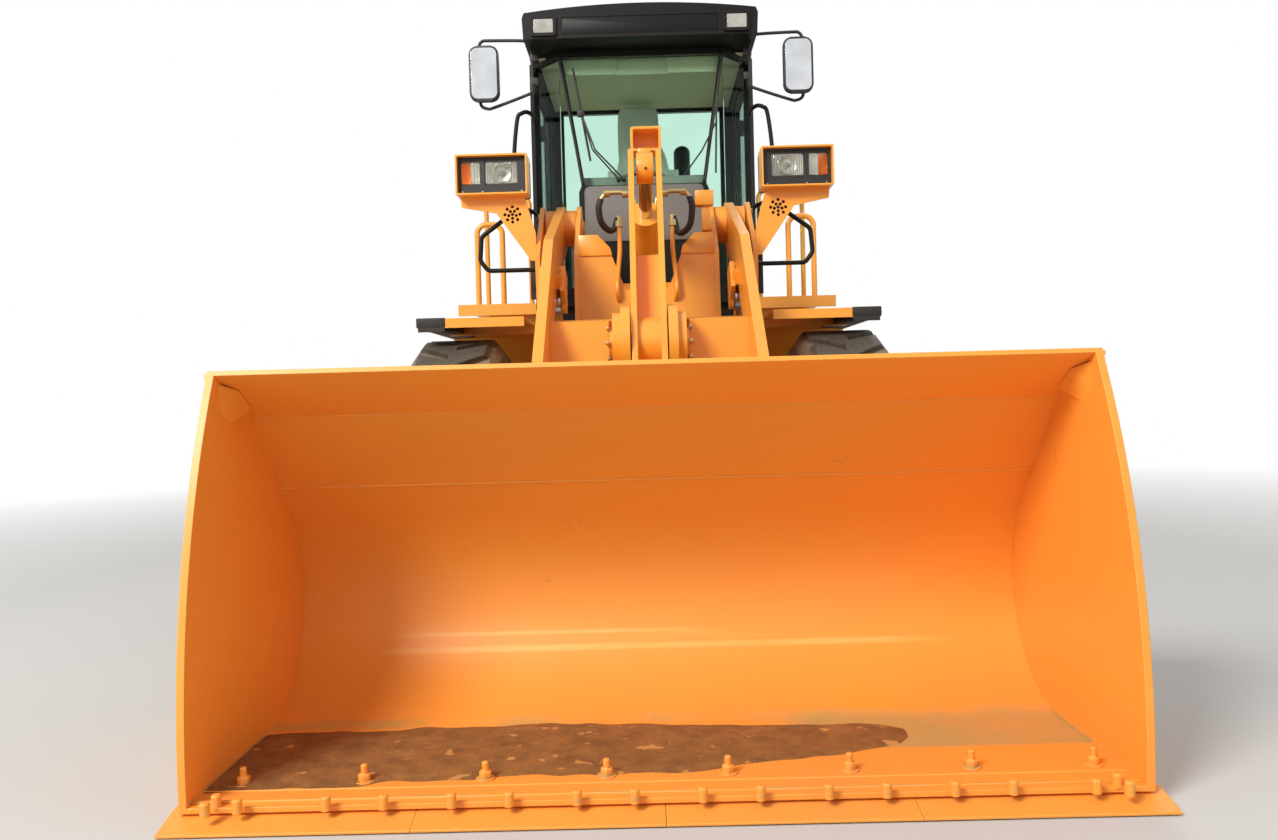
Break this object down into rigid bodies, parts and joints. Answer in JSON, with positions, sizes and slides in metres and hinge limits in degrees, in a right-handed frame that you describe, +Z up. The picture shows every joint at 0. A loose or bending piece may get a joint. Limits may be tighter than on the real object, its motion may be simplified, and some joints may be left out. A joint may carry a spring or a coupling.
{
  "type": "wheel loader",
  "caption": "Articulated wheel loader with a level bucket on a bowed boom and bellcrank linkage, a glazed cab, side platforms, a sloping engine hood and a rear counterweight.",
  "frame": {"origin": "on the ground below the centre of the machine's bounding box", "axes": "-Y is the front, where the bucket is, +Y the rear, +X the machine's left and +Z up"},
  "size_m": [2.4986, 7.15, 3.3118],
  "materials": {
    "orange": "gloss",
    "bucket_orange": "worn",
    "worn_steel": "worn",
    "rod_chrome": "polished",
    "frame_orange": "dusty",
    "tyre_rubber": "dusty",
    "black_paint": "satin",
    "cab_pane": "clear",
    "black_plastic": "matte",
    "seat_cloth": "woven",
    "engine_grey": "rough"
  },
  "bodies": {
    "rear_body": {"rear_frame": "frame_orange", "rear_axle": "frame_orange", "engine": "engine_grey", "counterweight": "orange", "hood": "orange", "cab_base": "black_paint", "cab_shell": "black_paint", "cab_roof": "black_paint", "cab_glass": "cab_pane", "seat": "seat_cloth", "console": "black_plastic", "mirrors": "black_plastic", "platforms": "orange", "side_tanks": "orange", "handrails": "orange", "exhaust": "black_paint"},
    "front_body": {"front_frame": "orange", "front_pins": "worn_steel", "front_axle": "frame_orange", "front_fenders": "orange", "lamp_brackets": "orange", "lamp_boxes": "black_plastic"},
    "boom": {"boom_arms": "orange", "boom_cross": "orange"},
    "bucket_carrier": {"bucket_pins": "worn_steel"},
    "bucket": {"bucket_shell": "bucket_orange", "bucket_sides": "bucket_orange", "cutting_edge": "worn_steel", "bucket_lugs": "bucket_orange"},
    "crank_carrier": {"crank_pin": "worn_steel"},
    "bellcrank": {"bellcrank": "orange"},
    "link_carrier": {"link_pin": "worn_steel"},
    "link": {"link": "orange"},
    "tilt_barrel": {"tilt_barrel": "orange"},
    "tilt_rod": {"tilt_rod": "rod_chrome"},
    "lift_barrel_left": {"lift_barrel_left": "orange"},
    "lift_rod_left": {"lift_rod_left": "rod_chrome"},
    "steer_barrel_left": {"steer_barrel_left": "orange"},
    "steer_rod_left": {"steer_rod_left": "rod_chrome"},
    "lift_barrel_right": {"lift_barrel_right": "orange"},
    "lift_rod_right": {"lift_rod_right": "rod_chrome"},
    "steer_barrel_right": {"steer_barrel_right": "orange"},
    "steer_rod_right": {"steer_rod_right": "rod_chrome"},
    "wheel_front_left": {"tyre_front_left": "tyre_rubber", "rim_front_left": "frame_orange"},
    "wheel_front_right": {"tyre_front_right": "tyre_rubber", "rim_front_right": "frame_orange"},
    "wheel_rear_left": {"tyre_rear_left": "tyre_rubber", "rim_rear_left": "frame_orange"},
    "wheel_rear_right": {"tyre_rear_right": "tyre_rubber", "rim_rear_right": "frame_orange"},
    "cab_door_left": {"door_left": "black_paint", "door_glass_left": "cab_pane"},
    "hood_door_left": {"side_door_left": "orange"},
    "cab_door_right": {"door_right": "black_paint", "door_glass_right": "cab_pane"},
    "hood_door_right": {"side_door_right": "orange"},
    "grille_door": {"grille_door": "black_paint"}
  },
  "joints": [
    {"name": "steer", "type": "hinge", "parent": "rear_body", "child": "front_body", "pos_m": [0, 0.49, 0.85], "axis": [0, 0, 1], "range_deg": [-35, 35]},
    {"name": "lift", "type": "hinge", "parent": "front_body", "child": "boom", "pos_m": [0, -0.385, 1.985], "axis": [-1, 0, 0], "range_deg": [0, 82]},
    {"name": "bucket_level", "type": "hinge", "parent": "boom", "child": "bucket_carrier", "pos_m": [0, -2.44, 0.28], "axis": [-1, 0, 0], "range_deg": [-82.01, 0]},
    {"name": "tilt", "type": "hinge", "parent": "bucket_carrier", "child": "bucket", "pos_m": [0, -2.44, 0.28], "axis": [1, 0, 0], "range_deg": [-42, 45]},
    {"name": "crank_lift", "type": "hinge", "parent": "boom", "child": "crank_carrier", "pos_m": [0, -1.625, 1.28], "axis": [-1, 0, 0], "range_deg": [0, 23.2]},
    {"name": "crank_tilt", "type": "hinge", "parent": "crank_carrier", "child": "bellcrank", "pos_m": [0, -1.625, 1.28], "axis": [1, 0, 0], "range_deg": [-4.87, 4.55]},
    {"name": "link_lift", "type": "hinge", "parent": "bucket", "child": "link_carrier", "pos_m": [0, -2.47, 0.495], "axis": [-1, 0, 0], "range_deg": [0, 39.74]},
    {"name": "link_tilt", "type": "hinge", "parent": "link_carrier", "child": "link", "pos_m": [0, -2.47, 0.495], "axis": [1, 0, 0], "range_deg": [-37.63, 35.12]},
    {"name": "tilt_cylinder", "type": "hinge", "parent": "front_body", "child": "tilt_barrel", "pos_m": [0, -0.455, 1.6], "axis": [-1, 0, 0], "range_deg": [0, 55.41]},
    {"name": "tilt_stroke", "type": "slide", "parent": "tilt_barrel", "child": "tilt_rod", "axis": [0, -0.8783, 0.4782], "range_m": [-0.056, 0.052]},
    {"name": "lift_cylinder_left", "type": "hinge", "parent": "front_body", "child": "lift_barrel_left", "pos_m": [0.46, -0.175, 0.95], "axis": [-1, 0, 0], "range_deg": [0, 30.82]},
    {"name": "lift_stroke_left", "type": "slide", "parent": "lift_barrel_left", "child": "lift_rod_left", "axis": [0, -0.8305, 0.557], "range_m": [0, 0.753]},
    {"name": "steer_cylinder_left", "type": "hinge", "parent": "rear_body", "child": "steer_barrel_left", "pos_m": [0.3, 1.01, 0.85], "axis": [0, 0, 1], "range_deg": [-13.01, 13.01]},
    {"name": "steer_stroke_left", "type": "slide", "parent": "steer_barrel_left", "child": "steer_rod_left", "axis": [0.0366, -0.9993, 0], "range_m": [-0.194, 0.194]},
    {"name": "lift_cylinder_right", "type": "hinge", "parent": "front_body", "child": "lift_barrel_right", "pos_m": [-0.46, -0.175, 0.95], "axis": [-1, 0, 0], "range_deg": [0, 30.82]},
    {"name": "lift_stroke_right", "type": "slide", "parent": "lift_barrel_right", "child": "lift_rod_right", "axis": [0, -0.8305, 0.557], "range_m": [0, 0.753]},
    {"name": "steer_cylinder_right", "type": "hinge", "parent": "rear_body", "child": "steer_barrel_right", "pos_m": [-0.3, 1.01, 0.85], "axis": [0, 0, 1], "range_deg": [-13.01, 13.01]},
    {"name": "steer_stroke_right", "type": "slide", "parent": "steer_barrel_right", "child": "steer_rod_right", "axis": [-0.0366, -0.9993, 0], "range_m": [-0.194, 0.194]},
    {"name": "spin_front_left", "type": "hinge", "parent": "front_body", "child": "wheel_front_left", "pos_m": [0.925, -0.945, 0.675], "axis": [1, 0, 0], "continuous": true},
    {"name": "spin_front_right", "type": "hinge", "parent": "front_body", "child": "wheel_front_right", "pos_m": [-0.925, -0.945, 0.675], "axis": [1, 0, 0], "continuous": true},
    {"name": "spin_rear_left", "type": "hinge", "parent": "rear_body", "child": "wheel_rear_left", "pos_m": [0.925, 1.925, 0.675], "axis": [1, 0, 0], "continuous": true},
    {"name": "spin_rear_right", "type": "hinge", "parent": "rear_body", "child": "wheel_rear_right", "pos_m": [-0.925, 1.925, 0.675], "axis": [1, 0, 0], "continuous": true},
    {"name": "cab_door_left", "type": "hinge", "parent": "rear_body", "child": "cab_door_left", "pos_m": [0.71, 1.187, 2.375], "axis": [0, 0, 1], "range_deg": [0, 85]},
    {"name": "hood_door_left", "type": "hinge", "parent": "rear_body", "child": "hood_door_left", "pos_m": [0.64, 2.26, 1.982], "axis": [0, -1, 0], "range_deg": [0, 80]},
    {"name": "cab_door_right", "type": "hinge", "parent": "rear_body", "child": "cab_door_right", "pos_m": [-0.71, 1.187, 2.375], "axis": [0, 0, -1], "range_deg": [0, 85]},
    {"name": "hood_door_right", "type": "hinge", "parent": "rear_body", "child": "hood_door_right", "pos_m": [-0.64, 2.26, 1.982], "axis": [0, 1, 0], "range_deg": [0, 80]},
    {"name": "grille_door", "type": "hinge", "parent": "rear_body", "child": "grille_door", "pos_m": [-0.517, 3.42, 1.665], "axis": [0, 0, 1], "range_deg": [0, 110]}
  ],
  "couplings": [
    {"joint": "bucket_level", "follows": "lift", "ratio": -1},
    {"joint": "crank_lift", "follows": "lift", "ratio": 0.28288},
    {"joint": "crank_tilt", "follows": "tilt", "ratio": -0.10822},
    {"joint": "link_lift", "follows": "lift", "ratio": 0.48461},
    {"joint": "link_tilt", "follows": "tilt", "ratio": -0.83611},
    {"joint": "tilt_cylinder", "follows": "lift", "ratio": 0.67569},
    {"joint": "tilt_stroke", "follows": "tilt", "m_per_rad": -0.06951},
    {"joint": "lift_cylinder_left", "follows": "lift", "ratio": 0.37581},
    {"joint": "lift_stroke_left", "follows": "lift", "m_per_rad": 0.52501},
    {"joint": "steer_cylinder_left", "follows": "steer", "ratio": 0.37175},
    {"joint": "steer_stroke_left", "follows": "steer", "m_per_rad": -0.31448},
    {"joint": "lift_cylinder_right", "follows": "lift", "ratio": 0.37581},
    {"joint": "lift_stroke_right", "follows": "lift", "m_per_rad": 0.52501},
    {"joint": "steer_cylinder_right", "follows": "steer", "ratio": 0.37175},
    {"joint": "steer_stroke_right", "follows": "steer", "m_per_rad": 0.31448}
  ]
}
